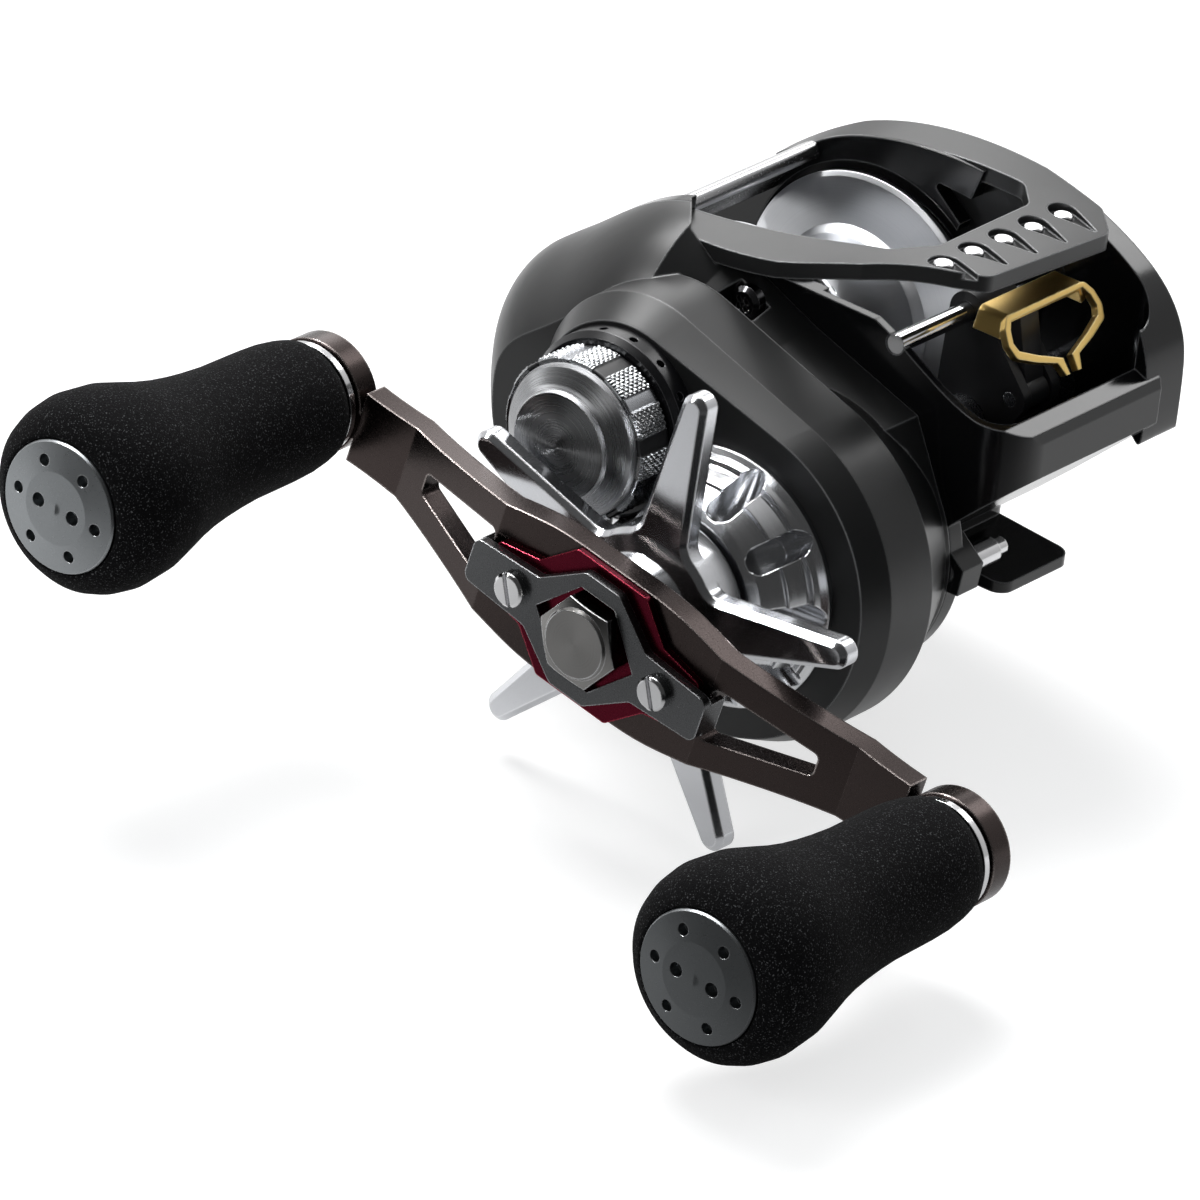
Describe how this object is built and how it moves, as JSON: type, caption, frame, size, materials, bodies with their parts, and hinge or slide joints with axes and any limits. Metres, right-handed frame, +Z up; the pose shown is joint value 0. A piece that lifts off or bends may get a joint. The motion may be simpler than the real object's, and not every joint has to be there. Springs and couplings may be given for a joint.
{
  "type": "baitcasting reel",
  "caption": "Low-profile right-hand baitcasting fishing reel: winged line guide, star drag, knurled cast control, twin-knob cranked handle, thumb-bar clutch and foot for a rod's reel seat.",
  "frame": {"origin": "on the underside of the reel foot, straight below the spool axis, midway across the spool", "axes": "+Z up off the rod, -Y towards the rod tip and the line guide, -X the handle side; every shaft lies along X"},
  "size_m": [0.1311, 0.1224, 0.0643],
  "materials": {
    "arm_bronze": "satin, polished chamfer",
    "black_plastic": "matt",
    "brass_gear": "machined",
    "bright_alloy": "satin, polished edges",
    "cap_gunmetal": "satin",
    "collar_black": "satin",
    "cover_graphite": "satin",
    "dark_steel": "radially turned",
    "drag_fibre": "woven",
    "eva_black": "matt, speckled",
    "frame_black": "gloss",
    "gold_guide": "brushed, polished edges",
    "hood_grey": "satin",
    "knurl_steel": "diamond knurled",
    "magnet_dark": "plain",
    "plate_burgundy": "anodised, bright chamfer",
    "polished_steel": "polished",
    "retainer_grey": "satin, bright edge",
    "satin_steel": "brushed",
    "spool_gunmetal": "turned, polished cone"
  },
  "bodies": {
    "frame_body": {"main_frame": "frame_black", "front_hood": "hood_grey", "hood_rivets": "polished_steel", "gear_side_cover": "cover_graphite", "gear_cover_screws": "satin_steel", "drag_ring": "bright_alloy", "cap_collar": "collar_black", "gear_set_plate": "satin_steel", "yoke_springs": "satin_steel", "one_way_clutch": "satin_steel", "side_plate_bearings": "satin_steel", "spool_bearings": "satin_steel", "palm_side_cover": "cover_graphite", "brake_magnets": "magnet_dark", "worm_cover": "satin_steel", "worm_bearings": "satin_steel", "guide_rod": "polished_steel", "tie_pin": "polished_steel"},
    "drive_train": {"drive_shaft": "satin_steel", "drive_gear": "brass_gear", "drag_washers": "drag_fibre", "pressure_washer": "satin_steel", "ratchet": "satin_steel", "clutch_sleeve": "satin_steel", "shaft_cog": "black_plastic", "handle_arm": "arm_bronze", "handle_plate": "plate_burgundy", "handle_retainer": "retainer_grey", "retainer_screws": "polished_steel", "handle_nut": "polished_steel", "knob_spindles": "satin_steel"},
    "star": {"star_drag": "bright_alloy"},
    "front_knob": {"front_knob_grip": "eva_black", "front_knob_core": "black_plastic", "front_knob_bearings": "satin_steel", "front_knob_ring": "polished_steel", "front_knob_cap": "cap_gunmetal"},
    "rear_knob": {"rear_knob_grip": "eva_black", "rear_knob_core": "black_plastic", "rear_knob_bearings": "satin_steel", "rear_knob_ring": "polished_steel", "rear_knob_cap": "cap_gunmetal"},
    "cast_control": {"cast_control_cap": "dark_steel", "cap_grip_ring": "knurl_steel", "cap_friction_disc": "black_plastic"},
    "brake_setting": {"brake_dial": "cap_gunmetal"},
    "spool_body": {"spool": "spool_gunmetal", "spool_shaft": "satin_steel", "brake_rotor": "bright_alloy"},
    "thumb": {"thumb_bar": "polished_steel"},
    "yoke": {"clutch_yoke": "satin_steel"},
    "pinion": {"pinion_gear": "brass_gear"},
    "cam": {"clutch_cam": "black_plastic"},
    "idler": {"idler_cog": "black_plastic"},
    "worm": {"worm_cog": "black_plastic", "worm_shaft": "satin_steel"},
    "carriage": {"guide_carriage": "black_plastic", "guide_pins": "satin_steel"},
    "guide": {"t_guide": "gold_guide", "guide_holder": "black_plastic"}
  },
  "joints": [
    {"name": "handle_turn", "type": "hinge", "parent": "frame_body", "child": "drive_train", "pos_m": [-0.04, -0.0175, 0.0042], "axis": [1, 0, 0], "continuous": true},
    {"name": "star_turn", "type": "hinge", "parent": "drive_train", "child": "star", "pos_m": [-0.05, -0.0175, 0.0042], "axis": [1, 0, 0], "range_deg": [-360, 360]},
    {"name": "front_knob_turn", "type": "hinge", "parent": "drive_train", "child": "front_knob", "pos_m": [-0.08, -0.06641, -0.0062], "axis": [1, 0, 0], "continuous": true},
    {"name": "rear_knob_turn", "type": "hinge", "parent": "drive_train", "child": "rear_knob", "pos_m": [-0.08, 0.03141, 0.0146], "axis": [1, 0, 0], "continuous": true},
    {"name": "cast_control_turn", "type": "hinge", "parent": "frame_body", "child": "cast_control", "pos_m": [-0.044, 0, 0.018], "axis": [1, 0, 0], "range_deg": [-170, 170]},
    {"name": "brake_dial_turn", "type": "hinge", "parent": "frame_body", "child": "brake_setting", "pos_m": [0.027, 0, 0.018], "axis": [1, 0, 0], "range_deg": [-140, 140]},
    {"name": "spool_turn", "type": "hinge", "parent": "frame_body", "child": "spool_body", "pos_m": [0, 0, 0.018], "axis": [1, 0, 0], "continuous": true},
    {"name": "thumb_press", "type": "slide", "parent": "frame_body", "child": "thumb", "axis": [0, 0.6947, -0.7193], "range_m": [0, 0.0045]},
    {"name": "yoke_slide", "type": "slide", "parent": "frame_body", "child": "yoke", "axis": [-1, 0, 0], "range_m": [0, 0.002]},
    {"name": "pinion_turn", "type": "hinge", "parent": "yoke", "child": "pinion", "pos_m": [-0.026, 0, 0.018], "axis": [1, 0, 0], "continuous": true},
    {"name": "cam_turn", "type": "hinge", "parent": "frame_body", "child": "cam", "pos_m": [-0.017, 0, 0.018], "axis": [-1, 0, 0], "range_deg": [0, 14]},
    {"name": "idler_turn", "type": "hinge", "parent": "frame_body", "child": "idler", "pos_m": [-0.017, -0.01613, 0.01793], "axis": [1, 0, 0], "continuous": true},
    {"name": "worm_turn", "type": "hinge", "parent": "frame_body", "child": "worm", "pos_m": [0, -0.025, 0.0164], "axis": [1, 0, 0], "continuous": true},
    {"name": "guide_traverse", "type": "slide", "parent": "frame_body", "child": "carriage", "axis": [1, 0, 0], "range_m": [-0.0066, 0.0042]},
    {"name": "guide_tilt", "type": "hinge", "parent": "carriage", "child": "guide", "pos_m": [0.0029, -0.031, 0.0216], "axis": [1, 0, 0], "range_deg": [0, 20]}
  ],
  "couplings": [
    {"joint": "spool_turn", "follows": "handle_turn", "ratio": -7.3333},
    {"joint": "pinion_turn", "follows": "handle_turn", "ratio": -7.3333},
    {"joint": "idler_turn", "follows": "handle_turn", "ratio": -1.875},
    {"joint": "worm_turn", "follows": "handle_turn", "ratio": 2.1429},
    {"joint": "yoke_slide", "follows": "thumb_press", "ratio": 0.444},
    {"joint": "cam_turn", "follows": "thumb_press", "rad_per_m": 54.245},
    {"joint": "guide_tilt", "follows": "thumb_press", "rad_per_m": 77.493}
  ]
}
